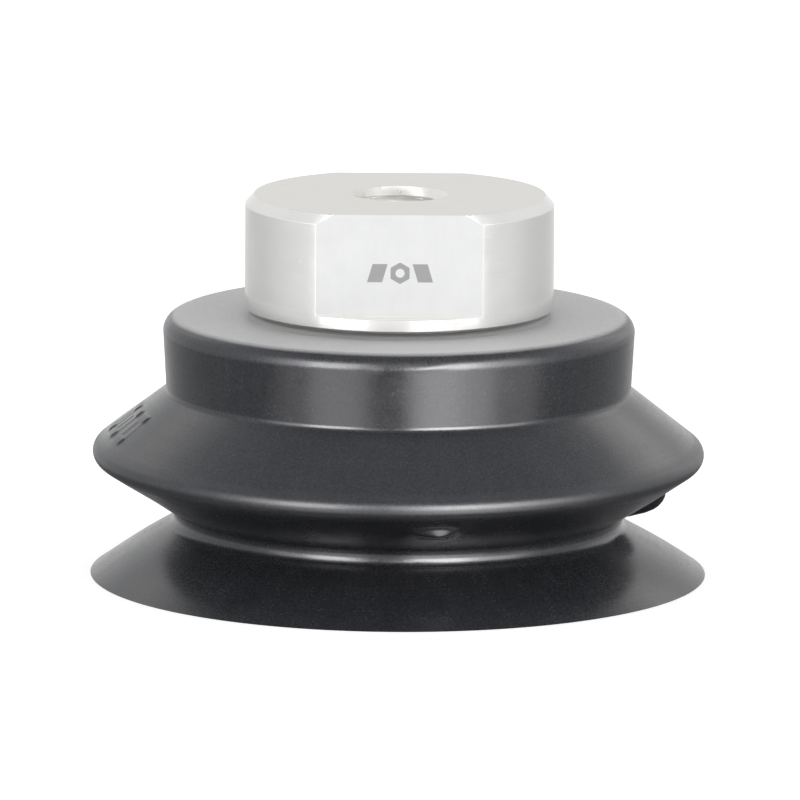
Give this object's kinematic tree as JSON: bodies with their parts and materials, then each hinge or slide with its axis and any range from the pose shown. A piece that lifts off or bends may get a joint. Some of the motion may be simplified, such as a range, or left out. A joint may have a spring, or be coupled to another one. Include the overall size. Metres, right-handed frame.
{
  "type": "vacuum suction cup",
  "caption": "Round folded-bellows vacuum suction cup with an aluminium threaded connection head, clamp plate and filter; lip strokes up and tilts.",
  "frame": {"origin": "centre of the lip's sealing plane", "axes": "+Z along the cup's axis, from the lip to the connection head; the wrench flats face -Y and +Y"},
  "size_m": [0.0898, 0.0898, 0.056],
  "materials": {
    "aluminium": "fine turned and milled, natural",
    "rubber": "satin moulded, fine grain",
    "washer": "matt dark grey fibre gasket",
    "screw_steel": "plain stainless",
    "mesh_steel": "woven wire",
    "spring_steel": "oiled spring steel"
  },
  "bodies": {
    "head": {"connection_head": "aluminium", "support_plate": "aluminium", "sealing_washer": "washer", "clamp_screw_1": "screw_steel", "clamp_screw_2": "screw_steel", "clamp_screw_3": "screw_steel", "clamp_screw_4": "screw_steel", "filter_screen": "mesh_steel", "filter_retaining_ring": "spring_steel", "bellows_collar": "rubber", "bellows_upper_cone": "rubber"},
    "fold": {"bellows_crest": "rubber", "bellows_under_cone": "rubber"},
    "waist": {"bellows_waist": "rubber", "bellows_lip_cone": "rubber"},
    "lip": {"sealing_lip": "rubber"}
  },
  "joints": [
    {"name": "fold_stroke", "type": "slide", "parent": "head", "child": "fold", "axis": [0, 0, 1], "range_m": [0, 0.005], "stiffness_N_per_m": 1500, "deforming": ["bellows_upper_cone"]},
    {"name": "waist_stroke", "type": "slide", "parent": "fold", "child": "waist", "axis": [0, 0, 1], "range_m": [0, 0.005], "stiffness_N_per_m": 1500, "deforming": ["bellows_under_cone"]},
    {"name": "lip_tilt", "type": "hinge", "parent": "waist", "child": "lip", "pos_m": [0, 0, 0.00824], "axis": [0, 1, 0], "range_deg": [-6, 6], "stiffness_Nm_per_rad": 0.5, "deforming": ["bellows_lip_cone"]}
  ],
  "couplings": [
    {"joint": "waist_stroke", "follows": "fold_stroke", "ratio": 1}
  ]
}
